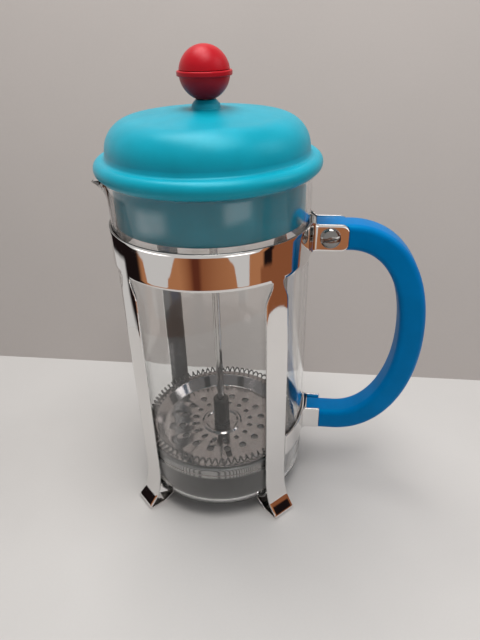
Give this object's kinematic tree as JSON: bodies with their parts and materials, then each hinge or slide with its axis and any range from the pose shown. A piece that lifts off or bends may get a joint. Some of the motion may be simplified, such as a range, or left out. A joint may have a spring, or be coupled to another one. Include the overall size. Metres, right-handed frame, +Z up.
{
  "type": "french press",
  "caption": "Plunger coffee maker: a glass beaker in a chromed strip frame, with a crowned plastic lid, ball knob, D-shaped handle and a sprung mesh filter on a rod.",
  "frame": {"origin": "middle of the object's footprint box, on the table plane that its feet stand on; the beaker's axis is at x = -0.0248 m", "axes": "+Z up along the beaker's axis, +X towards the handle, -X towards the pouring spout, Y across"},
  "size_m": [0.1671, 0.1046, 0.2354],
  "materials": {
    "clear_glass": "clear, polished",
    "chrome_plate": "bright chrome plate",
    "bright_steel": "bright polished stainless steel",
    "blue_plastic": "satin moulded plastic",
    "turquoise_plastic": "satin moulded plastic",
    "red_plastic": "satin moulded plastic",
    "brass": "turned"
  },
  "bodies": {
    "stand": {"frame": "chrome_plate", "lower_strap": "chrome_plate", "handle": "blue_plastic", "handle_screw": "bright_steel", "handle_nut": "bright_steel"},
    "glass": {"beaker": "clear_glass"},
    "lid": {"lid_dome": "turquoise_plastic"},
    "strainer": {"lid_strainer": "turquoise_plastic"},
    "plunger": {"rod": "bright_steel", "rod_collar": "bright_steel", "knob_base": "red_plastic", "knob_cap": "red_plastic", "knob_insert": "brass"},
    "filter": {"filter_boss": "bright_steel", "cross_plate": "bright_steel", "mesh_filter": "bright_steel", "mesh_binding": "bright_steel", "spiral_plate": "bright_steel", "coil_spring": "bright_steel"}
  },
  "joints": [
    {"name": "beaker_lift", "type": "slide", "parent": "stand", "child": "glass", "axis": [0, 0, 1], "range_m": [0, 0.16]},
    {"name": "lid_lift", "type": "slide", "parent": "glass", "child": "lid", "axis": [0, 0, 1], "range_m": [0, 0.16]},
    {"name": "lid_turn", "type": "hinge", "parent": "lid", "child": "strainer", "pos_m": [-0.0248, 0, 0.17], "axis": [0, 0, 1], "continuous": true},
    {"name": "plunger_slide", "type": "slide", "parent": "strainer", "child": "plunger", "axis": [0, 0, 1], "range_m": [0, 0.113]},
    {"name": "filter_turn", "type": "hinge", "parent": "plunger", "child": "filter", "pos_m": [-0.0248, 0, 0.03], "axis": [0, 0, 1], "continuous": true}
  ]
}
